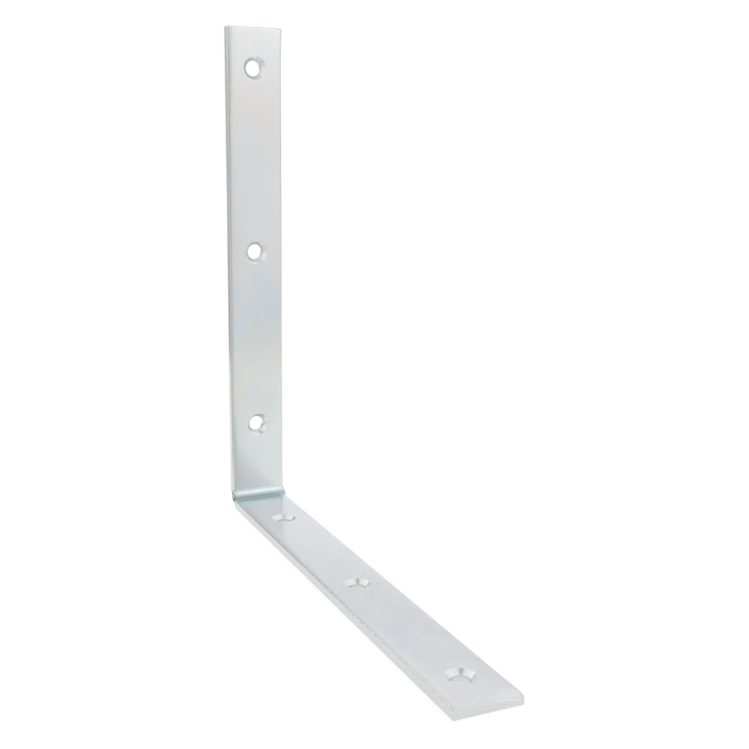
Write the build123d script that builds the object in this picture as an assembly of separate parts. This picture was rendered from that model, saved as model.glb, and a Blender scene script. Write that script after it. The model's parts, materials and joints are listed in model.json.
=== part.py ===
"""Angle bracket: a flat steel bar folded once to a right angle, with countersunk screw holes in both legs.

The bar stands on one leg. The heel frame used below has its corner where the underside and the back
would meet if the fold were sharp: X runs along the lying leg, Z up the standing leg, Y across the bar.
The finished solid is moved so that its origin is at the middle of its footprint, on the underside.
"""
import os
from math import cos, pi, radians, sin, tan

from build123d import *

# Bar stock: each leg is measured outside, from the heel corner to its sheared end
leg_length = 200.0
bar_width = 23.0
bar_thickness = 4.0
edge_radius = 0.7
end_radius = 0.4

# Fold: the inside of the bend swells sideways and the heel is drawn in, as thick bar does
fold_angle = 90.0
fold_inner_radius = 4.0
knuckle_swell = 0.6
heel_draw = 0.5
fold_stations = 9

# Screw holes: an even row on each leg, from one near the heel corner to one near the sheared end
hole_diameter = 6.2
countersink_diameter = 9.5
countersink_angle = 90.0
holes_per_leg = 3
heel_to_first_hole = 36.0
last_hole_to_end = 16.0
hole_overrun = 1.0

# Sizes that follow from these
fold_outer_radius = fold_inner_radius + bar_thickness
heel_setback = fold_outer_radius * tan(radians(fold_angle) / 2)
straight_length = leg_length - heel_setback
hole_row_length = leg_length - heel_to_first_hole - last_hole_to_end
hole_pitch = hole_row_length / (holes_per_leg - 1)
fold_to_row_middle = heel_to_first_hole + hole_row_length / 2 - heel_setback


def fold_plane(angle):
    """Plane of the bar's cross-section at an angle round the fold, from 0 at the lying leg to the full fold.

    Its x runs across the bar, its y points to the fold's axis and its z runs on towards the standing leg.
    """
    turn = radians(angle)
    centre_radius = fold_inner_radius + bar_thickness / 2
    origin = (
        heel_setback - centre_radius * sin(turn),
        0,
        fold_outer_radius - centre_radius * cos(turn),
    )
    return Plane(origin=origin, x_dir=(0, -1, 0), z_dir=(-cos(turn), 0, sin(turn)))


def bar_section(plane, squeeze_share):
    """Cross-section of the bar with rounded edges, swollen inside and drawn in outside by a share.

    Each side is a curve that meets both rounded edges smoothly, and is straight where the share is nil.
    """
    inner_half = bar_width / 2 + knuckle_swell * squeeze_share
    outer_half = bar_width / 2 - heel_draw * squeeze_share
    face = bar_thickness / 2
    shoulder = face - edge_radius
    right_side = [
        CenterArc((outer_half - edge_radius, -shoulder), edge_radius, -90, 90),
        Bezier((outer_half, -shoulder), (outer_half, 0), (inner_half, 0), (inner_half, shoulder)),
        CenterArc((inner_half - edge_radius, shoulder), edge_radius, 0, 90),
    ]
    outer_face = Line((edge_radius - outer_half, -face), (outer_half - edge_radius, -face))
    inner_face = Line((inner_half - edge_radius, face), (edge_radius - inner_half, face))
    left_side = [mirror(edge, Plane.YZ) for edge in right_side]
    return plane * make_face([outer_face, *right_side, inner_face, *left_side])


def fold():
    """The folded stretch, lofted through sections that turn about the fold's axis.

    The squeeze rises and falls as a squared sine, so it is nil where the fold meets the straight legs.
    """
    sections = []
    for station in range(fold_stations):
        turn_share = station / (fold_stations - 1)
        squeeze_share = sin(pi * turn_share) ** 2
        sections.append(bar_section(fold_plane(fold_angle * turn_share), squeeze_share))
    return loft(sections)


def straight_leg(start, direction):
    """One straight leg: the plain section run out from an end of the fold, forwards (1) or backwards (-1)."""
    return extrude(bar_section(start, 0), direction * straight_length)


def screw_holes(start, direction):
    """The row of countersunk holes of one leg, on its centre line, opening wide on the inner face."""
    hole = CounterSinkHole(
        radius=hole_diameter / 2,
        counter_sink_radius=countersink_diameter / 2,
        depth=bar_thickness + hole_overrun,
        counter_sink_angle=countersink_angle,
    )
    along = start.z_dir * direction
    row_middle = start.origin + along * fold_to_row_middle + start.y_dir * (bar_thickness / 2)
    inner_face = Plane(origin=row_middle, x_dir=along, z_dir=start.y_dir)
    return [inner_face * place * hole for place in GridLocations(hole_pitch, 0, holes_per_leg, 1)]


def angle_bracket():
    """The whole bracket as one solid, standing on its lying leg."""
    legs = [(fold_plane(0), -1), (fold_plane(fold_angle), 1)]
    bar = fold() + [straight_leg(*leg) for leg in legs]
    far_end = bar.faces().sort_by(Axis.X)[-1]
    top_end = bar.faces().sort_by(Axis.Z)[-1]
    bar = fillet(far_end.edges() + top_end.edges(), end_radius)
    for leg in legs:
        bar -= screw_holes(*leg)
    return Pos(-leg_length / 2, 0, 0) * bar


os.makedirs("parts", exist_ok=True)
export_step(angle_bracket(), "parts/angle_bracket.step")
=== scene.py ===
"""Zinc-plated angle bracket: the folded bar, its plating and a plain studio.

The bar is first worked out flat, as places (along, across, depth) in metres. Along runs from the lying
leg's sheared end to the standing leg's and is nil at the middle of the fold, across runs over the bar's
width, and depth goes from the middle of the thickness towards the inner face. One function folds those
places up.
"""
import json
import math

import bmesh
import bpy
import numpy as np
from bpy.props import FloatProperty, FloatVectorProperty, PointerProperty
from mathutils import Matrix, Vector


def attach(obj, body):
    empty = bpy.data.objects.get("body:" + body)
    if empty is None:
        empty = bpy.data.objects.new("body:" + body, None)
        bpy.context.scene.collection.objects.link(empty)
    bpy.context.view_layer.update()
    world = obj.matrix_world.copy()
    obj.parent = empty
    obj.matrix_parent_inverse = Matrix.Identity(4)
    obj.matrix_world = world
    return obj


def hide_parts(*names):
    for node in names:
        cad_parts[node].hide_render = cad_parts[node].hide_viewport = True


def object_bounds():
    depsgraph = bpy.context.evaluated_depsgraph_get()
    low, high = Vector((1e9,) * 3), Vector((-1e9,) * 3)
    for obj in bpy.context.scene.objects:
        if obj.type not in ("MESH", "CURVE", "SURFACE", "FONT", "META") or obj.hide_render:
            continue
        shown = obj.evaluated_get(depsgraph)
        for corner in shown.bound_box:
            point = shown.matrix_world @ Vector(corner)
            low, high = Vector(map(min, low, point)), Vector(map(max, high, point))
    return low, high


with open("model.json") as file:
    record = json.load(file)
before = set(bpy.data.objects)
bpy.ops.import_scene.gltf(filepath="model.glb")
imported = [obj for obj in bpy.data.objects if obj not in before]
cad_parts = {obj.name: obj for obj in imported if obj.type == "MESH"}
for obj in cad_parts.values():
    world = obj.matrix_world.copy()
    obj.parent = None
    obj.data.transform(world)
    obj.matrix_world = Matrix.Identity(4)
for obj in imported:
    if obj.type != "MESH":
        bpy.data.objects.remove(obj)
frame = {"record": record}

bl_info = {
    "name": "Angle bracket",
    "version": (1, 0, 0),
    "blender": (4, 5, 0),
    "location": "View3D > Sidebar > Bracket",
    "description": "Builds a plated steel angle bracket with countersunk screw holes",
    "category": "Add Mesh",
}

CAD_LOW, CAD_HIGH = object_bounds()
BORES = [mount for mount in frame["record"]["mounts"] if mount["kind"] == "bore"]
MM = 0.001

# How finely the surfaces are divided
EDGE_STEPS = 7
SIDE_STEPS = 4
FOLD_STEPS = 28
END_STEPS = 4
PATCH_STEPS = 14
CORNER_STEPS = 4
DROP_STEPS = 7
SHEAR_STEPS = 16
LEG_PITCH = 3 * MM
SUPPORT_GAP = 0.15 * MM
WELD_DISTANCE = 0.002 * MM

# Rings of face between a hole's mouth and the square round it, as shares of the way
PATCH_RING_SHARES = (0, 0.08, 0.35, 0.7, 1.0)

# How far the marks of slitting and shearing reach, and from where across the bar the shear's grow
EDGE_DROP_REACH = 1.0 * MM
SHEAR_REACH = 8 * MM
SHEAR_FLARE_REACH = 5 * MM
SHEAR_START_SHARE = 0.15

# The shear's roll reaches this many times as far along the bar as it drops
SHEAR_ROLL_STRETCH = 2.7

# Bands of film: the share of the way from the lying leg's end to the standing leg's, and the tint there
FILM_BANDS = (
    (0.0, "lilac_tint"),
    (0.45, "lilac_tint"),
    (0.53, "green_tint"),
    (0.60, "green_tint"),
    (0.65, "straw_tint"),
    (0.71, "blue_tint"),
    (0.77, "plain_zinc"),
    (0.82, "pale_blue_tint"),
    (0.86, "plain_zinc"),
    (0.92, "warm_tint"),
    (0.98, "plain_zinc"),
)

# How far the bands wander along the bar, as a share of its length, and the range of noise that moves them
BAND_WANDER_SHARE = 0.05
BAND_WANDER_NOISE = (0.25, 0.75)

# Spots of film: how much finer they are than patches of tint, their noise at nil and at full, their strength
SPOT_FINENESS = (1.6, 1.8, 1.8)
ROSE_SPOT_NOISE = (0.50, 0.68)
BLUE_SPOT_NOISE = (0.44, 0.32)
SPOT_STRENGTH = 0.5

# How far cut faces and slit edges lose the film, and how much of the countersinks' painted highlight the
# walls of the holes get
BARE_SHARE = 0.85
WALL_HIGHLIGHT_SHARE = 0.5

# Stretches along the bar, for the fold's painted reflection, the painted shade along its hollow and the dark
# specks at its knuckle:
# their middle from the fold's middle, how far they are full and how far they reach
FOLD_REFLECTION = (-7 * MM, 4 * MM, 14 * MM)
CREASE_SHADE = (-1.6 * MM, 0.3 * MM, 3.0 * MM)
KNUCKLE = (0.0, 2 * MM, 5 * MM)

# Depths towards the inner face at which the fold's painted reflection and shade and the knuckle's dark
# specks are nil and full
INNER_FACE_DEPTHS = (0.2 * MM, 1.2 * MM)

# How many patches of each texture fit in a metre: along the bar, across it and through its depth
LINES_PER_METRE = (40, 2500, 2500)
GRAIN_PER_METRE = (2200, 2200, 2200)
CLOUDS_PER_METRE = (90, 160, 160)
NICKS_PER_METRE = (450, 800, 800)
SPECKS_PER_METRE = (700, 700, 700)

# How many finer layers the noise has, as a rule and where it is richer
PLAIN_DETAIL = 2.0
RICH_DETAIL = 3.0

# Nicks and specks: their noise at nil and at full, the nicks' share at the fold, and the specks' strength
NICK_NOISE = (0.40, 0.56)
NICK_FOLD_SHARE = 0.2
SPECK_NOISE = (0.44, 0.54)
SPECK_STRENGTH = 0.9

# How much the textures add to the roughness and to the bump's height
CLOUD_ROUGHNESS = 0.10
LINE_ROUGHNESS = 0.04
CUT_ROUGHNESS = 0.08
LINE_HEIGHT = 0.6
GRAIN_HEIGHT = 0.2
NICK_HEIGHT = 50.0
BUMP_STRENGTH = 0.12
BUMP_DISTANCE = 0.02 * MM

# White of the floor's glow, the surround and the cards
WHITE = (1.0, 1.0, 1.0, 1.0)

# Studio floor: the radii of its rings, its number of sides and the gap between it and the bracket
FLOOR_RINGS = (0.01, 0.3, 1.0, 3.0, 8.0)
FLOOR_SIDES = 48
FLOOR_GAP = 0.05 * MM

# The tent's walls darken between these two rises, where a rise is the sine of the elevation
TENT_TOP_STARTS = 0.88
TENT_TOP_ENDS = 0.95

# Nearest distance that the camera shows
CLIP_START = 10 * MM

# How many points a card has along each of its arcs, and the level of the cards that lie on the floor
CARD_COLUMNS = 17
ON_FLOOR = 0.2 * MM

# Cards that only show in reflections: bearing, span (degrees), near, far, low, high (metres), brightness
CARDS = {
    "back_card": (201, 18, 0.43, 0.43, 0.0, 0.26, 0.58),
    "back_low_card": (201, 18, 0.42, 0.42, 0.0, 0.08, 0.42),
    "high_card": (152, 60, 1.2, 1.2, 0.50, 0.65, 0.78),
    "left_card": (-108, 50, 0.7, 0.7, 0.0, 0.20, 0.52),
    "front_card": (-19, 62, 0.8, 0.8, 0.0, 0.28, 0.54),
    "right_card": (92, 66, 0.6, 0.6, 0.0, 0.16, 0.80),
    "low_card": (28, 45, 0.6, 0.6, 0.0, 0.20, 0.95),
    "boom_card": (-25, 46, 0.08, 0.47, 0.6, 0.6, 0.35),
    "corner_card": (16.5, 17, 0.187, 0.187, 0.0, 0.15, 0.88),
    "edge_box": (217, 28, 0.9, 0.9, 0.27, 0.75, 1.25),
    "top_box": (26, 14, 0.8, 0.8, 0.55, 0.95, 1.35),
    "floor_left_card": (-90, 100, 0.035, 0.60, ON_FLOOR, ON_FLOOR, 0.74),
    "floor_front_card": (-15, 50, 0.20, 0.60, ON_FLOOR, ON_FLOOR, 0.62),
    "floor_near_card": (31, 34, 0.03, 0.14, ON_FLOOR, ON_FLOOR, 0.92),
    "floor_far_card": (31, 34, 0.24, 0.60, ON_FLOOR, ON_FLOOR, 0.82),
    "floor_back_card": (165, 46, 0.22, 0.60, ON_FLOOR, ON_FLOOR, 0.70),
    "floor_behind_card": (234, 40, 0.22, 0.60, ON_FLOOR, ON_FLOOR, 0.70),
}


class BarSizes(bpy.types.PropertyGroup):
    """Sizes of the flat bar and of its fold."""

    leg_length: FloatProperty(
        name="Leg length",
        description="Outside length of each leg, from the heel to the sheared end",
        default=CAD_HIGH.z - CAD_LOW.z,
        unit="LENGTH",
    )
    width: FloatProperty(
        name="Width",
        description="Width of the flat bar away from the fold",
        default=23.0 * MM,
        unit="LENGTH",
    )
    thickness: FloatProperty(
        name="Thickness",
        description="Thickness of the flat bar",
        default=4.0 * MM,
        unit="LENGTH",
    )
    edge_radius: FloatProperty(
        name="Edge radius",
        description="Radius of the rolled long edges",
        default=0.7 * MM,
        unit="LENGTH",
    )
    end_radius: FloatProperty(
        name="End radius",
        description="Radius of the sheared ends' edges",
        default=0.4 * MM,
        unit="LENGTH",
    )
    fold_inner_radius: FloatProperty(
        name="Inner fold radius",
        description="Radius of the inside of the fold",
        default=4.0 * MM,
        unit="LENGTH",
    )
    knuckle_swell: FloatProperty(
        name="Knuckle swell",
        description="How far the inside of the fold swells sideways at each edge",
        default=0.6 * MM,
        unit="LENGTH",
    )
    heel_draw: FloatProperty(
        name="Heel draw",
        description="How far the heel is drawn in at each edge",
        default=0.5 * MM,
        unit="LENGTH",
    )
    edge_drop: FloatProperty(
        name="Edge drop",
        description="How far the inner face falls away along its long edges, where the strip was slit",
        default=0.3 * MM,
        unit="LENGTH",
    )
    lying_roll: FloatProperty(
        name="Lying roll",
        description="How far the shear dragged the inner face down at the lying leg's end",
        default=1.5 * MM,
        unit="LENGTH",
    )
    standing_roll: FloatProperty(
        name="Standing roll",
        description="How far the shear dragged the inner face down at the standing leg's end",
        default=0.5 * MM,
        unit="LENGTH",
    )
    shear_flare: FloatProperty(
        name="Shear flare",
        description="How far the shear pushed that side out at the sheared ends",
        default=0.45 * MM,
        unit="LENGTH",
    )


class HoleSizes(bpy.types.PropertyGroup):
    """Sizes of the countersunk screw holes."""

    diameter: FloatProperty(
        name="Hole diameter",
        description="Diameter of the straight part of a screw hole",
        default=2 * BORES[0]["dims"]["r_mm"] * MM,
        unit="LENGTH",
    )
    countersink_diameter: FloatProperty(
        name="Countersink diameter",
        description="Diameter of a countersink where it meets the inner face",
        default=9.5 * MM,
        unit="LENGTH",
    )
    countersink_angle: FloatProperty(
        name="Countersink angle",
        description="Full angle of the countersink's cone",
        default=math.radians(90.0),
        subtype="ANGLE",
    )
    rim_break: FloatProperty(
        name="Rim break",
        description="How far from each sharp rim its rounding starts",
        default=0.12 * MM,
        unit="LENGTH",
    )
    patch_half: FloatProperty(
        name="Patch half side",
        description="Half the side of the square of face that is drawn round each hole",
        default=7.0 * MM,
        unit="LENGTH",
    )


class PlatingFinish(bpy.types.PropertyGroup):
    """Colours and texture of the zinc plating."""

    plain_zinc: FloatVectorProperty(
        name="Plain zinc",
        description="Colour of the plating where it has no tint",
        default=(0.702, 0.717, 0.721),
        subtype="COLOR",
        size=3,
    )
    warm_tint: FloatVectorProperty(
        name="Warm tint",
        description="Colour of the thinnest passivated film",
        default=(0.724, 0.707, 0.688),
        subtype="COLOR",
        size=3,
    )
    straw_tint: FloatVectorProperty(
        name="Straw tint",
        description="Colour of the film between green and blue",
        default=(0.690, 0.714, 0.680),
        subtype="COLOR",
        size=3,
    )
    rose_tint: FloatVectorProperty(
        name="Rose tint",
        description="Colour of the scattered rose spots of film",
        default=(0.725, 0.700, 0.716),
        subtype="COLOR",
        size=3,
    )
    lilac_tint: FloatVectorProperty(
        name="Lilac tint",
        description="Colour of the film over the lying leg",
        default=(0.722, 0.742, 0.778),
        subtype="COLOR",
        size=3,
    )
    blue_tint: FloatVectorProperty(
        name="Blue tint",
        description="Colour of a thicker passivated film, in its band and in scattered spots",
        default=(0.640, 0.708, 0.762),
        subtype="COLOR",
        size=3,
    )
    pale_blue_tint: FloatVectorProperty(
        name="Pale blue tint",
        description="Colour of the film's weaker band of blue, higher up the standing leg",
        default=(0.706, 0.729, 0.744),
        subtype="COLOR",
        size=3,
    )
    green_tint: FloatVectorProperty(
        name="Green tint",
        description="Colour of the thickest passivated film",
        default=(0.660, 0.704, 0.702),
        subtype="COLOR",
        size=3,
    )
    cut_tint: FloatVectorProperty(
        name="Cut tint",
        description="Colour of the plating over the cut faces and the slit edges",
        default=(0.640, 0.650, 0.634),
        subtype="COLOR",
        size=3,
    )
    # Painted highlight: a brighter colour in the countersinks, and in part on the walls of the holes, that
    # stands in for the light they catch
    countersink_highlight: FloatVectorProperty(
        name="Countersink tint",
        description="Colour of the plating in the countersinks, and in part on the walls of the holes",
        default=(0.785, 0.800, 0.805),
        subtype="COLOR",
        size=3,
    )
    # Painted reflection: a bluer colour inside the fold, mostly towards the lying leg, standing in for the
    # teal that the fold's reflections of itself give
    fold_reflection_tint: FloatVectorProperty(
        name="Fold tint",
        description="Colour of the film inside the fold, where the bath lay longest",
        default=(0.640, 0.735, 0.752),
        subtype="COLOR",
        size=3,
    )
    # Painted shade: a dark line in the hollow of the fold, where the fold shades itself most
    crease_shade_tint: FloatVectorProperty(
        name="Tide tint",
        description="Colour of the line that the bath left in the hollow of the fold",
        default=(0.400, 0.500, 0.525),
        subtype="COLOR",
        size=3,
    )
    # Colour of the dark specks at the fold's left edge
    knuckle_speck_colour: FloatVectorProperty(
        name="Knuckle soil",
        description="Colour of the specks of bare steel at the pinched knuckles",
        default=(0.20, 0.19, 0.17),
        subtype="COLOR",
        size=3,
    )
    tint_patch: FloatProperty(
        name="Tint patch",
        description="Typical width of a patch of tint",
        default=15 * MM,
        unit="LENGTH",
    )
    roughness: FloatProperty(
        name="Roughness",
        description="Mean roughness of the plated faces",
        default=0.20,
        subtype="FACTOR",
    )


class StudioSettings(bpy.types.PropertyGroup):
    """Camera, floor, surround and lamp."""

    camera_place: FloatVectorProperty(
        name="Camera place",
        description="Where the camera stands",
        default=(341.4 * MM, -150.0 * MM, 157.5 * MM),
        subtype="TRANSLATION",
        size=3,
    )
    camera_azimuth: FloatProperty(
        name="Camera azimuth",
        description="Direction that the camera stands in, nil in front and turning towards +X",
        default=math.radians(64.873),
        subtype="ANGLE",
    )
    camera_elevation: FloatProperty(
        name="Camera elevation",
        description="How far the camera looks down",
        default=math.radians(12.142),
        subtype="ANGLE",
    )
    camera_roll: FloatProperty(
        name="Camera roll",
        description="How far the camera is turned about its own line of sight",
        default=math.radians(0.804),
        subtype="ANGLE",
    )
    lens: FloatProperty(
        name="Lens",
        description="Focal length in millimetres on a 36 mm sensor",
        default=52.99,
    )
    floor_matt: FloatVectorProperty(
        name="Floor matt",
        description="Matt part of the floor's white, which takes the shadow",
        default=(0.30, 0.30, 0.30),
        subtype="COLOR",
        size=3,
    )
    floor_glow: FloatProperty(
        name="Floor glow",
        description="Part of the floor's white that doesn't depend on the light",
        default=0.76,
        subtype="FACTOR",
    )
    tent_top: FloatProperty(
        name="Tent top",
        description="Strength of the surround straight above, where its walls have strength one",
        default=0.85,
        subtype="FACTOR",
    )
    lamp_place: FloatVectorProperty(
        name="Lamp place",
        description="Where the lamp stands",
        default=(0.78, 0.42, 0.46),
        subtype="TRANSLATION",
        size=3,
    )
    lamp_aim: FloatVectorProperty(
        name="Lamp aim",
        description="Where the lamp points, which is the standing leg's end",
        default=(CAD_LOW.x, 0.0, CAD_HIGH.z),
        subtype="TRANSLATION",
        size=3,
    )
    lamp_size: FloatProperty(
        name="Lamp size",
        description="Side of the square lamp",
        default=0.4,
        unit="LENGTH",
    )
    lamp_power: FloatProperty(
        name="Lamp power",
        description="Power of the lamp in watts",
        default=0.14,
        unit="POWER",
    )


def divided(stops, steps):
    """Places on a line: each stretch between two stops is divided evenly into its number of steps."""
    stretches = [np.linspace(a, b, n, endpoint=False) for a, b, n in zip(stops, stops[1:], steps)]
    return np.concatenate([*stretches, stops[-1:]])


def grid_faces(rows, columns, wrap=False):
    """Corner numbers of a grid's quads, row after row; wrap joins the last column to the first."""
    row = np.arange(rows - 1)[:, None]
    column = np.arange(columns if wrap else columns - 1)[None, :]
    beside = (column + 1) % columns
    corners = [row * columns + column, row * columns + beside]
    corners += [(row + 1) * columns + beside, (row + 1) * columns + column]
    return np.stack(np.broadcast_arrays(*corners), axis=-1)


class FlatBar:
    """The bar worked out flat, from its sizes, and the rule that folds it."""

    def __init__(self, sizes, holes):
        self.sizes = sizes
        self.holes = holes
        self.face = sizes.thickness / 2
        self.shoulder = self.face - sizes.edge_radius
        self.middle_radius = sizes.fold_inner_radius + self.face
        self.outer_radius = sizes.fold_inner_radius + sizes.thickness
        self.half_arc = self.middle_radius * math.pi / 4
        self.end = self.half_arc + sizes.leg_length - self.outer_radius
        self.lying_holes = self.hole_places("x", -1)
        self.standing_holes = self.hole_places("z", 1)

    def hole_places(self, leg_axis, side):
        """Where one leg's holes are along the flat bar, read from the frame's bores on that leg."""
        along_axis = "xyz".index(leg_axis)
        across_leg = [bore for bore in BORES if round(bore["axis"][along_axis]) == 0]
        from_heel = np.array([bore["pos_m"][along_axis] for bore in across_leg]) - CAD_LOW[along_axis]
        return np.sort(side * (from_heel - self.outer_radius + self.half_arc))

    def fold(self, along, across, depth):
        """Folds flat places into the frame.

        Beyond the fold a place is carried straight on. Within it, the turn is the distance along over the
        middle radius, and the place lies that far round the fold's axis, at the middle radius less its
        depth.
        """
        turn = np.clip((along + self.half_arc) / self.middle_radius, 0, math.pi / 2)
        before = np.minimum(along + self.half_arc, 0)
        after = np.maximum(along - self.half_arc, 0)
        radius = self.middle_radius - depth
        x = CAD_LOW.x + self.outer_radius - radius * np.sin(turn) - before
        z = CAD_LOW.z + self.outer_radius - radius * np.cos(turn) + after
        return np.stack(np.broadcast_arrays(x, across, z), axis=-1)

    def worked(self, places):
        """Flat places as slitting and shearing left them.

        Along the long edges the inner face falls away. Where the shear first bit, on the right of both
        ends, it dragged the inner face down, along a quarter of an ellipse, and pushed the side out. The
        falling edges and the pushed side die away exponentially, the shear's marks also die away towards the
        left, and a drop is full on the inner face and nil on the outer one.
        """
        along, across, depth = places.T
        half = self.sizes.width / 2
        to_edge = np.maximum(half - np.abs(across), 0)
        to_end = self.end - np.abs(along)
        roll = np.where(along < 0, self.sizes.lying_roll, self.sizes.standing_roll)
        bite = np.clip((across / half - SHEAR_START_SHARE) / (1 - SHEAR_START_SHARE), 0, 1)
        drop = self.sizes.edge_drop * np.exp(-to_edge / EDGE_DROP_REACH)
        into_roll = np.clip(1 - to_end / (SHEAR_ROLL_STRETCH * roll), 0, 1)
        drop += roll * bite ** 2 * (3 - 2 * bite) * (1 - np.sqrt(1 - into_roll ** 2))
        push = np.maximum(across / half, 0) ** 3 * np.exp(-to_end / SHEAR_FLARE_REACH)
        flare = self.sizes.shear_flare * push
        height = (depth + self.face) / (2 * self.face)
        return np.stack([along, across + flare, depth - drop * height], axis=-1)

    def squeeze(self, along):
        """Share of the fold's sideways squeeze: a squared sine over the fold, nil at both its ends."""
        turn = np.clip((along + self.half_arc) / self.middle_radius, 0, math.pi / 2)
        return np.sin(2 * turn) ** 2

    def face_shares(self):
        """Lines across a face as shares of its half width, with the square round a hole divided evenly."""
        half = self.sizes.width / 2 - self.sizes.edge_radius
        drop_start = half - 2 * EDGE_DROP_REACH
        stops = np.array([self.holes.patch_half, drop_start, half - SUPPORT_GAP, half]) / half
        right = divided(list(stops), [1, DROP_STEPS, 1])
        return np.concatenate([-right[:0:-1], np.linspace(-stops[0], stops[0], PATCH_STEPS + 1), right[1:]])

    def stations(self):
        """Places of the sections along the bar, and how far each is drawn in to round the sheared ends."""
        patch = self.holes.patch_half
        round_start = self.end - self.sizes.end_radius
        leg_stops = [self.half_arc]
        for place in self.standing_holes:
            leg_stops += [place - patch, place + patch]
        leg_stops += [self.end - SHEAR_REACH, round_start]
        leg_steps = [max(1, math.ceil((b - a) / LEG_PITCH)) for a, b in zip(leg_stops, leg_stops[1:])]
        leg_steps[1:2 * len(self.standing_holes):2] = [PATCH_STEPS] * len(self.standing_holes)
        leg_steps[-1] = SHEAR_STEPS
        leg = divided(leg_stops, leg_steps)
        arc = np.linspace(0, math.pi / 2, END_STEPS + 1)[1:]
        leg = np.concatenate([leg, round_start + self.sizes.end_radius * np.sin(arc)])
        drawn_in = np.zeros(len(leg))
        drawn_in[-END_STEPS:] = self.sizes.end_radius * (1 - np.cos(arc))
        fold = np.linspace(-self.half_arc, self.half_arc, FOLD_STEPS + 1)[1:-1]
        along = np.concatenate([-leg[::-1], fold, leg])
        return along, np.concatenate([drawn_in[::-1], np.zeros(len(fold)), drawn_in])

    def sections(self, along, drawn_in):
        """Cross-sections as rings of (across, depth), one ring for each station.

        The lower chain goes from the left side over the outer face to the right side, and the upper chain
        does the same over the inner face: each is a rounded edge, the face and a rounded edge. The side
        between them is a cubic curve that leaves both rounded edges straight up.
        """
        squeeze = self.squeeze(along)[:, None]
        inner = self.sizes.width / 2 + self.sizes.knuckle_swell * squeeze
        outer = self.sizes.width / 2 - self.sizes.heel_draw * squeeze
        radius = self.sizes.edge_radius - drawn_in[:, None]
        lower = self.chain(outer - self.sizes.edge_radius, radius, -1)
        upper = self.chain(inner - self.sizes.edge_radius, radius, 1)
        rise = np.linspace(0, 1, SIDE_STEPS + 1)[None, 1:-1]
        low_side = outer - drawn_in[:, None]
        high_side = inner - drawn_in[:, None]
        side_across = low_side + (high_side - low_side) * rise ** 2 * (3 - 2 * rise)
        side_depth = np.broadcast_to(self.shoulder * (rise ** 3 - (1 - rise) ** 3), side_across.shape)
        right = np.stack([side_across, side_depth], axis=-1)
        left = (right * [-1, 1])[:, ::-1]
        return np.concatenate([lower, right, upper[:, ::-1], left], axis=1)

    def chain(self, half, radius, side):
        """One face with its two rounded edges, from left to right; side is 1 for the inner face."""
        angle = np.linspace(0, math.pi / 2, EDGE_STEPS + 1)[None, :-1]
        edge_across = half + radius * np.cos(angle)
        edge_depth = side * (self.shoulder + radius * np.sin(angle))
        face_across = half * self.face_shares()[None, :]
        face_depth = np.broadcast_to(side * (self.shoulder + radius), face_across.shape)
        across = np.concatenate([-edge_across, face_across, edge_across[:, ::-1]], axis=1)
        depth = np.concatenate([edge_depth, face_depth, edge_depth[:, ::-1]], axis=1)
        return np.stack([across, depth], axis=-1)


class Surfaces:
    """Collects grids of flat places and their quads into one mesh."""

    def __init__(self):
        self.places = []
        self.faces = []
        self.cut = []
        self.countersunk = []
        self.count = 0

    def add(self, places, faces, cut=0.0, countersunk=0.0):
        """Adds points with the quads that number them, how far a cut made them and their share of the
        countersinks' painted highlight.
        """
        flat = places.reshape(-1, 3)
        self.places.append(flat)
        self.faces.append(faces.reshape(-1, 4) + self.count)
        self.cut.append(np.full(len(flat), cut))
        self.countersunk.append(np.broadcast_to(countersunk, places.shape[:-1]).ravel())
        self.count += len(flat)


def add_skin(bar, surfaces):
    """The rolled outside: the section's ring carried along the bar, open in the squares of the holes."""
    along, drawn_in = bar.stations()
    rings = bar.sections(along, drawn_in)
    places = np.concatenate([np.broadcast_to(along[:, None, None], rings[..., :1].shape), rings], axis=-1)
    faces = grid_faces(*rings.shape[:2], wrap=True)
    middle = places.reshape(-1, 3)[faces].mean(axis=2)
    on_face = np.isclose(np.abs(middle[..., 2]), bar.face)
    near_centre = np.abs(middle[..., 1]) < bar.holes.patch_half
    holes = np.concatenate([bar.lying_holes, bar.standing_holes])
    by_hole = (np.abs(middle[..., 0:1] - holes) < bar.holes.patch_half).any(axis=-1)
    surfaces.add(places, faces[~(on_face & near_centre & by_hole)])
    return places


def add_ends(bar, surfaces, skin):
    """The sheared ends: straight lines through the bar, from the outer face's chain to the inner one's."""
    points = 2 * EDGE_STEPS + len(bar.face_shares())
    for ring, turned in ((skin[0], True), (skin[-1], False)):
        lower = ring[:points]
        upper = ring[points + SIDE_STEPS - 1:2 * points + SIDE_STEPS - 1][::-1]
        right_side = ring[points:points + SIDE_STEPS - 1, 2]
        rise = np.concatenate([[0], (right_side + bar.shoulder) / (2 * bar.shoulder), [1]])[:, None, None]
        places = lower[None] + (upper - lower)[None] * rise
        faces = grid_faces(*places.shape[:2])
        surfaces.add(places, faces[..., ::-1] if turned else faces, cut=1.0)


def hole_profile(bar):
    """Line from the inner face down a countersink and through the hole, as (radius, depth).

    It has three corners: the countersink's rim, its throat and the rim on the outer face. Each corner is
    rounded by a parabola that touches both of its lines at the same distance from the corner.
    """
    radius = bar.holes.diameter / 2
    rim_radius = bar.holes.countersink_diameter / 2
    sink_depth = (rim_radius - radius) / math.tan(bar.holes.countersink_angle / 2)
    line = np.array([
        (rim_radius + bar.holes.rim_break, bar.face),
        (rim_radius, bar.face),
        (radius, bar.face - sink_depth),
        (radius, -bar.face),
        (radius + bar.holes.rim_break, -bar.face),
    ])
    corner = line[1:-1, None]
    before = line[:-2, None] - corner
    after = line[2:, None] - corner
    start = corner + before / np.linalg.norm(before, axis=-1, keepdims=True) * bar.holes.rim_break
    stop = corner + after / np.linalg.norm(after, axis=-1, keepdims=True) * bar.holes.rim_break
    share = np.linspace(0, 1, CORNER_STEPS + 1)[None, :, None]
    return (start * (1 - share) ** 2 + corner * 2 * share * (1 - share) + stop * share ** 2).reshape(-1, 2)


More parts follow.
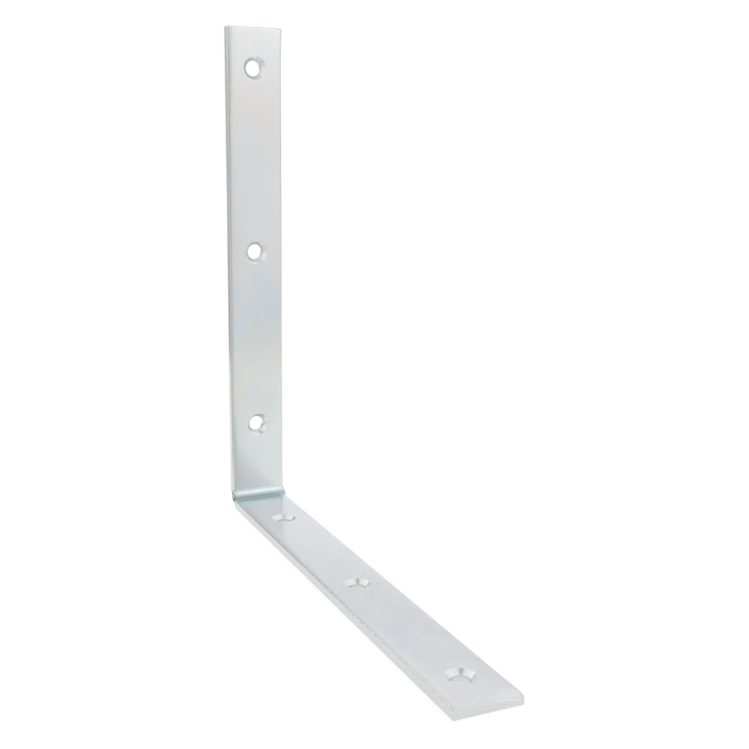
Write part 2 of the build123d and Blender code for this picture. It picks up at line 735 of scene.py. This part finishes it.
def square_round():
    """Points round a square of half side one, and as many directions round a circle, from one corner."""
    side = np.linspace(-1, 1, PATCH_STEPS, endpoint=False)
    ones = np.ones(PATCH_STEPS)
    square = np.concatenate([
        np.stack([side, -ones], axis=-1),
        np.stack([ones, side], axis=-1),
        np.stack([-side, ones], axis=-1),
        np.stack([-ones, -side], axis=-1),
    ])
    angle = np.linspace(0, 2 * math.pi, len(square), endpoint=False) - 3 * math.pi / 4
    return square, np.stack([np.cos(angle), np.sin(angle)], axis=-1)


def add_hole(bar, surfaces, place):
    """One screw hole: its profile carried round its axis, and the face round each mouth out to a square.

    Between mouth and square, the points go in straight lines from the circle to the square's sides.
    """
    square, circle = square_round()
    profile = hole_profile(bar)
    wall = np.concatenate([
        place + profile[:, None, :1] * circle[None, :, :1],
        profile[:, None, :1] * circle[None, :, 1:],
        np.broadcast_to(profile[:, None, 1:], (len(profile), len(circle), 1)),
    ], axis=-1)
    # The cone and its roundings get the countersinks' painted highlight in full, the straight wall in part
    on_cone = profile[:, 1:] > profile[CORNER_STEPS + 1, 1] - bar.holes.rim_break / 2
    bright = np.where(on_cone, 1.0, WALL_HIGHLIGHT_SHARE)
    surfaces.add(wall, grid_faces(*wall.shape[:2], wrap=True), cut=1.0, countersunk=bright)
    share = np.array(PATCH_RING_SHARES)[:, None, None]
    for mouth, depth, turned in ((profile[0, 0], bar.face, True), (profile[-1, 0], -bar.face, False)):
        ring = circle * mouth * (1 - share) + square * bar.holes.patch_half * share
        level = np.full(ring.shape[:2] + (1,), depth)
        places = np.concatenate([place + ring[..., :1], ring[..., 1:], level], axis=-1)
        faces = grid_faces(*places.shape[:2], wrap=True)
        surfaces.add(places, faces[..., ::-1] if turned else faces)


def bar_mesh(bar):
    """One closed mesh of the folded bar, with its flat places and its cuts kept as attributes."""
    surfaces = Surfaces()
    skin = add_skin(bar, surfaces)
    add_ends(bar, surfaces, skin)
    for place in np.concatenate([bar.lying_holes, bar.standing_holes]):
        add_hole(bar, surfaces, place)
    places = np.concatenate(surfaces.places)
    mesh = bpy.data.meshes.new("folded_bar")
    folded = bar.fold(*bar.worked(places).T)
    mesh.from_pydata(folded, [], np.concatenate(surfaces.faces))
    flat_place = mesh.attributes.new("flat_place", "FLOAT_VECTOR", "POINT")
    flat_place.data.foreach_set("vector", places.astype(np.float32).ravel())
    for name, values in (("cut", surfaces.cut), ("countersunk", surfaces.countersunk)):
        made_by = mesh.attributes.new(name, "FLOAT", "POINT")
        made_by.data.foreach_set("value", np.concatenate(values).astype(np.float32))
    working = bmesh.new()
    working.from_mesh(mesh)
    bmesh.ops.remove_doubles(working, verts=working.verts, dist=WELD_DISTANCE)
    bmesh.ops.recalc_face_normals(working, faces=working.faces)
    working.to_mesh(mesh)
    working.free()
    mesh.shade_smooth()
    return mesh


class NodeSheet:
    """Places and joins the nodes of one material or world."""

    def __init__(self, owner):
        owner.use_nodes = True
        self.tree = owner.node_tree
        self.tree.nodes.clear()

    def node(self, kind, inputs=None, **settings):
        """A new node with its settings; an input that is a socket is linked, any other is a value."""
        made = self.tree.nodes.new(kind)
        for name, value in settings.items():
            setattr(made, name, value)
        for name, value in (inputs or {}).items():
            if isinstance(value, bpy.types.NodeSocket):
                self.tree.links.new(value, made.inputs[name])
            else:
                made.inputs[name].default_value = value
        return made

    def noise(self, place, scale, detail=PLAIN_DETAIL):
        """Soft noise over a place; scale is how many patches fit in a metre along each axis."""
        mapped = self.node("ShaderNodeMapping", {"Vector": place, "Scale": scale})
        texture = {"Vector": mapped.outputs["Vector"], "Scale": 1.0, "Detail": detail}
        return self.node("ShaderNodeTexNoise", texture).outputs["Fac"]

    def ranged(self, value, low, high, new_low, new_high):
        """A value carried from one range to another, without running past the ends."""
        inputs = {"Value": value, "From Min": low, "From Max": high, "To Min": new_low, "To Max": new_high}
        return self.node("ShaderNodeMapRange", inputs).outputs["Result"]

    def math(self, operation, first, second):
        """Two numbers put together."""
        return self.node("ShaderNodeMath", {0: first, 1: second}, operation=operation).outputs["Value"]

    def total(self, *weighted):
        """Sum of values, each times its weight."""
        summed = 0.0
        for value, weight in weighted:
            summed = self.math("ADD", summed, self.math("MULTIPLY", value, weight))
        return summed

    def mixed(self, share, first, second):
        """A colour that goes from the first to a second, plain one as the share goes from nil to one."""
        made = self.node("ShaderNodeMix", data_type="RGBA")
        self.tree.links.new(share, made.inputs["Factor"])
        self.tree.links.new(first, made.inputs["A"])
        made.inputs["B"].default_value = (*second, 1.0)
        return made.outputs["Result"]

    def ramp(self, value, stops):
        """Colours at their places on a ramp, with soft steps between them."""
        made = self.node("ShaderNodeValToRGB", {"Fac": value})
        made.color_ramp.interpolation = "EASE"
        while len(made.color_ramp.elements) < len(stops):
            made.color_ramp.elements.new(1.0)
        for element, (place, colour) in zip(made.color_ramp.elements, stops):
            element.position = place
            element.color = (*colour, 1.0)
        return made.outputs["Color"]


class PlatingSheet(NodeSheet):
    """The nodes of the zinc plating, which follow the bar's flat places."""

    def __init__(self, owner, finish, bar):
        super().__init__(owner)
        self.finish = finish
        self.bar = bar
        self.place = self.attribute("flat_place", "Vector")
        self.cut = self.attribute("cut", "Fac")
        self.countersunk = self.attribute("countersunk", "Fac")
        self.axes = self.node("ShaderNodeSeparateXYZ", {"Vector": self.place}).outputs
        half = bar.sizes.width / 2
        radius = bar.sizes.edge_radius
        to_side = self.math("ABSOLUTE", self.axes["Y"], 0.0)
        self.edge = self.ranged(to_side, half - 2 * radius, half - radius / 2, 0.0, 1.0)

    def attribute(self, name, output):
        """One of the attributes that the mesh keeps."""
        return self.node("ShaderNodeAttribute", attribute_name=name).outputs[output]

    def stretch(self, middle, full, reach):
        """One on a stretch along the bar, falling to nil at its reach."""
        distance = self.math("ABSOLUTE", self.math("SUBTRACT", self.axes["X"], middle), 0.0)
        return self.ranged(distance, full, reach, 1.0, 0.0)

    def film(self):
        """Colour of the thin film, which lies in bands that wander along the bar and in scattered spots."""
        patches = 1 / self.finish.tint_patch
        wander = self.noise(self.place, (patches / 2, patches, patches))
        moved = self.ranged(wander, *BAND_WANDER_NOISE, -BAND_WANDER_SHARE, BAND_WANDER_SHARE)
        share = self.ranged(self.axes["X"], -self.bar.end, self.bar.end, 0.0, 1.0)
        bands = [(place, getattr(self.finish, tint)) for place, tint in FILM_BANDS]
        colour = self.ramp(self.math("ADD", share, moved), bands)
        spots = self.noise(self.place, [patches * fineness for fineness in SPOT_FINENESS])
        rose_spots = self.ranged(spots, *ROSE_SPOT_NOISE, 0.0, SPOT_STRENGTH)
        colour = self.mixed(rose_spots, colour, self.finish.rose_tint)
        blue_spots = self.ranged(spots, *BLUE_SPOT_NOISE, 0.0, SPOT_STRENGTH)
        return self.mixed(blue_spots, colour, self.finish.blue_tint)

    def knuckle_specks(self):
        """Dark specks at the bar's left edge, over the middle of the fold."""
        half = self.bar.sizes.width / 2
        at_left = self.ranged(self.axes["Y"], self.bar.sizes.edge_radius - half, -half, 0.0, 1.0)
        noise = self.noise(self.place, SPECKS_PER_METRE)
        specks = self.ranged(noise, *SPECK_NOISE, 0.0, SPECK_STRENGTH)
        return self.math("MULTIPLY", self.math("MULTIPLY", self.stretch(*KNUCKLE), at_left), specks)

    def colour(self):
        """Colour of the plating.

        Cut faces and slit edges took less of the film. The countersinks, and in part the walls of the holes,
        are brighter, a painted highlight. The inside of the fold gets a bluer painted reflection, most of
        all towards the lying leg, a dark painted shade along its hollow and dark specks at its left edge.
        """
        bare = self.math("MULTIPLY", self.math("MAXIMUM", self.cut, self.edge), BARE_SHARE)
        colour = self.mixed(bare, self.film(), self.finish.cut_tint)
        # Painted highlight: a brighter colour in the countersinks and, in part, on the walls of the holes
        colour = self.mixed(self.countersunk, colour, self.finish.countersink_highlight)
        inside = self.ranged(self.axes["Z"], *INNER_FACE_DEPTHS, 0.0, 1.0)
        # Painted reflection: a bluer colour inside the fold
        fold_reflection_share = self.math("MULTIPLY", self.stretch(*FOLD_REFLECTION), inside)
        colour = self.mixed(fold_reflection_share, colour, self.finish.fold_reflection_tint)
        # Painted shade: a dark line along the hollow of the fold
        crease_shade_share = self.math("MULTIPLY", self.stretch(*CREASE_SHADE), inside)
        colour = self.mixed(crease_shade_share, colour, self.finish.crease_shade_tint)
        # Dark specks at the fold's left edge, on the inner face
        speck_share = self.math("MULTIPLY", self.knuckle_specks(), inside)
        return self.mixed(speck_share, colour, self.finish.knuckle_speck_colour)

    def texture(self):
        """Roughness and bumped normal, from rolling lines, an even grain, clouds and nicked edges."""
        lines = self.noise(self.place, LINES_PER_METRE)
        grain = self.noise(self.place, GRAIN_PER_METRE)
        clouds = self.noise(self.place, CLOUDS_PER_METRE, RICH_DETAIL)
        nicks = self.ranged(self.noise(self.place, NICKS_PER_METRE, RICH_DETAIL), *NICK_NOISE, 0.0, 1.0)
        towards_end = self.ranged(self.axes["X"], -self.bar.end, 0.0, 1.0, NICK_FOLD_SHARE)
        nicks = self.math("MULTIPLY", nicks, self.math("MULTIPLY", self.edge, towards_end))
        added = self.total((clouds, CLOUD_ROUGHNESS), (lines, LINE_ROUGHNESS), (self.cut, CUT_ROUGHNESS))
        mean_added = (CLOUD_ROUGHNESS + LINE_ROUGHNESS) / 2
        roughness = self.math("ADD", added, self.finish.roughness - mean_added)
        rolled = self.total((lines, LINE_HEIGHT), (grain, GRAIN_HEIGHT))
        rolled = self.math("MULTIPLY", rolled, self.math("SUBTRACT", 1.0, self.cut))
        height = self.math("ADD", rolled, self.math("MULTIPLY", nicks, NICK_HEIGHT))
        settings = {"Height": height, "Strength": BUMP_STRENGTH, "Distance": BUMP_DISTANCE}
        return roughness, self.node("ShaderNodeBump", settings).outputs["Normal"]


def zinc_plating(finish, bar):
    """Bright zinc with a thin passivated film, over the fine lines of rolled bar."""
    material = bpy.data.materials.new("zinc_plating")
    sheet = PlatingSheet(material, finish, bar)
    roughness, normal = sheet.texture()
    shader = sheet.node("ShaderNodeBsdfPrincipled", {
        "Base Color": sheet.colour(),
        "Metallic": 1.0,
        "Roughness": roughness,
        "Normal": normal,
    })
    sheet.node("ShaderNodeOutputMaterial", {"Surface": shader.outputs["BSDF"]})
    return material


class BRACKET_OT_folded_bar(bpy.types.Operator):
    """Builds the folded, drilled and plated bar in place of its solid"""

    bl_idname = "bracket.folded_bar"
    bl_label = "Folded bar"

    def execute(self, context):
        bar = FlatBar(context.scene.bracket_bar, context.scene.bracket_holes)
        piece = bpy.data.objects.new("plated_bar", bar_mesh(bar))
        context.scene.collection.objects.link(piece)
        piece.data.materials.append(zinc_plating(context.scene.bracket_plating, bar))
        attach(piece, "root")
        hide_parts("angle_bracket")
        return {"FINISHED"}


def seen_directly(sheet):
    """One for rays from the camera, reflected and refracted ones, nil for the rays that light things."""
    path = sheet.node("ShaderNodeLightPath")
    mirrored = sheet.math("MAXIMUM", path.outputs["Is Glossy Ray"], path.outputs["Is Transmission Ray"])
    return sheet.math("MAXIMUM", path.outputs["Is Camera Ray"], mirrored)


def studio_floor(settings):
    """A round pale floor: rings of points about its middle, joined to a small hub.

    Its white is part matt, which takes the bracket's shadow, and part a glow that only shows where it is
    seen.
    """
    radius = np.array(FLOOR_RINGS)[:, None]
    angle = np.linspace(0, 2 * math.pi, FLOOR_SIDES, endpoint=False)[None, :]
    level = np.full((len(FLOOR_RINGS), FLOOR_SIDES), CAD_LOW.z - FLOOR_GAP)
    points = np.stack([radius * np.cos(angle), radius * np.sin(angle), level], axis=-1)
    mesh = bpy.data.meshes.new("studio_floor")
    faces = grid_faces(*points.shape[:2], wrap=True).reshape(-1, 4)[:, ::-1].tolist()
    hub = list(range(FLOOR_SIDES))
    mesh.from_pydata(points.reshape(-1, 3), [], [*faces, hub])
    material = bpy.data.materials.new("pale_floor")
    sheet = NodeSheet(material)
    matt = sheet.node("ShaderNodeBsdfDiffuse", {"Color": (*settings.floor_matt, 1.0)})
    strength = sheet.math("MULTIPLY", seen_directly(sheet), settings.floor_glow)
    glow = sheet.node("ShaderNodeEmission", {"Color": WHITE, "Strength": strength})
    both = sheet.node("ShaderNodeAddShader", {0: matt.outputs[0], 1: glow.outputs[0]})
    sheet.node("ShaderNodeOutputMaterial", {"Surface": both.outputs[0]})
    mesh.materials.append(material)
    floor = bpy.data.objects.new("studio_floor", mesh)
    bpy.context.scene.collection.objects.link(floor)


def studio_surround(settings):
    """White walls all round that darken towards the top, as under an open light tent."""
    world = bpy.data.worlds.new("studio_surround")
    sheet = NodeSheet(world)
    direction = sheet.node("ShaderNodeTexCoord").outputs["Generated"]
    rise = sheet.node("ShaderNodeSeparateXYZ", {"Vector": direction}).outputs["Z"]
    strength = sheet.ranged(rise, TENT_TOP_STARTS, TENT_TOP_ENDS, 1.0, settings.tent_top)
    background = sheet.node("ShaderNodeBackground", {"Color": WHITE, "Strength": strength})
    sheet.node("ShaderNodeOutputWorld", {"Surface": background.outputs[0]})
    bpy.context.scene.world = world


def studio_card(name, bearing, span, near, far, low, high, brightness):
    """A curved card that only shows in reflections.

    It runs from a near, low arc to a far, high one, both about the frame's origin.
    """
    angle = np.radians(bearing + span * np.linspace(-0.5, 0.5, CARD_COLUMNS))[None, :]
    distance = np.array([near, far])[:, None]
    level = np.array([low, high])[:, None]
    x = distance * np.cos(angle)
    y = distance * np.sin(angle)
    points = np.stack(np.broadcast_arrays(x, y, level), axis=-1)
    mesh = bpy.data.meshes.new(name)
    mesh.from_pydata(points.reshape(-1, 3), [], grid_faces(*points.shape[:2]).reshape(-1, 4))
    material = bpy.data.materials.new(name)
    sheet = NodeSheet(material)
    glow = sheet.node("ShaderNodeEmission", {"Color": WHITE, "Strength": brightness})
    sheet.node("ShaderNodeOutputMaterial", {"Surface": glow.outputs[0]})
    mesh.materials.append(material)
    card = bpy.data.objects.new(name, mesh)
    card.visible_camera = False
    card.visible_diffuse = False
    card.visible_shadow = False
    bpy.context.scene.collection.objects.link(card)


def studio_lamp(settings):
    """A square soft lamp at its place, turned to face its aim."""
    lamp = bpy.data.lights.new("side_lamp", "AREA")
    lamp.shape = "SQUARE"
    lamp.size = settings.lamp_size
    lamp.energy = settings.lamp_power
    holder = bpy.data.objects.new("side_lamp", lamp)
    place = np.array(settings.lamp_place)
    holder.matrix_world = looking_from(place, place - np.array(settings.lamp_aim))
    bpy.context.scene.collection.objects.link(holder)


def looking_from(place, back, roll=0.0):
    """Matrix of something at a place that looks away from the direction called back, turned by a roll."""
    back = back / np.linalg.norm(back)
    right = np.cross((0, 0, 1), back)
    right = right / np.linalg.norm(right)
    up = np.cross(back, right)
    turned_right = math.cos(roll) * right + math.sin(roll) * up
    turned_up = math.cos(roll) * up - math.sin(roll) * right
    matrix = np.eye(4)
    matrix[:3] = np.stack([turned_right, turned_up, back, place], axis=1)
    return Matrix(matrix)


def studio_camera(settings):
    """The camera at the photograph's viewing angle."""
    camera = bpy.data.cameras.new("studio_camera")
    camera.lens = settings.lens
    camera.clip_start = CLIP_START
    holder = bpy.data.objects.new("studio_camera", camera)
    azimuth = settings.camera_azimuth
    elevation = settings.camera_elevation
    level = math.cos(elevation)
    back = np.array([math.sin(azimuth) * level, -math.cos(azimuth) * level, math.sin(elevation)])
    holder.matrix_world = looking_from(np.array(settings.camera_place), back, settings.camera_roll)
    bpy.context.scene.collection.objects.link(holder)
    bpy.context.scene.camera = holder


class BRACKET_OT_studio(bpy.types.Operator):
    """Builds the floor, the surround, the reflection cards, the lamp and the camera"""

    bl_idname = "bracket.studio"
    bl_label = "Studio"

    def execute(self, context):
        settings = context.scene.bracket_studio
        studio_floor(settings)
        studio_surround(settings)
        for name, card in CARDS.items():
            studio_card(name, *card)
        studio_lamp(settings)
        studio_camera(settings)
        context.scene.view_settings.view_transform = "Standard"
        return {"FINISHED"}


class BRACKET_PT_panel(bpy.types.Panel):
    """Lists the sizes, the finish and the steps"""

    bl_idname = "BRACKET_PT_panel"
    bl_label = "Angle bracket"
    bl_space_type = "VIEW_3D"
    bl_region_type = "UI"
    bl_category = "Bracket"

    def draw(self, context):
        for settings in SETTINGS:
            group = getattr(context.scene, settings)
            box = self.layout.box()
            for name in group.__annotations__:
                box.prop(group, name)
        for operator in OPERATORS:
            self.layout.operator(operator.bl_idname)


SETTINGS = {
    "bracket_bar": BarSizes,
    "bracket_holes": HoleSizes,
    "bracket_plating": PlatingFinish,
    "bracket_studio": StudioSettings,
}
OPERATORS = (BRACKET_OT_folded_bar, BRACKET_OT_studio)
CLASSES = (*SETTINGS.values(), *OPERATORS, BRACKET_PT_panel)


def register():
    """Registers the add-on's classes and gives each scene its settings."""
    for each in CLASSES:
        bpy.utils.register_class(each)
    for name, group in SETTINGS.items():
        setattr(bpy.types.Scene, name, PointerProperty(type=group))


def unregister():
    """Takes away the settings and the classes again."""
    for name in SETTINGS:
        delattr(bpy.types.Scene, name)
    for each in reversed(CLASSES):
        bpy.utils.unregister_class(each)


def main():
    """Registers the add-on and runs its steps."""
    register()
    bpy.ops.bracket.folded_bar()
    bpy.ops.bracket.studio()


if __name__ == "__main__":
    main()
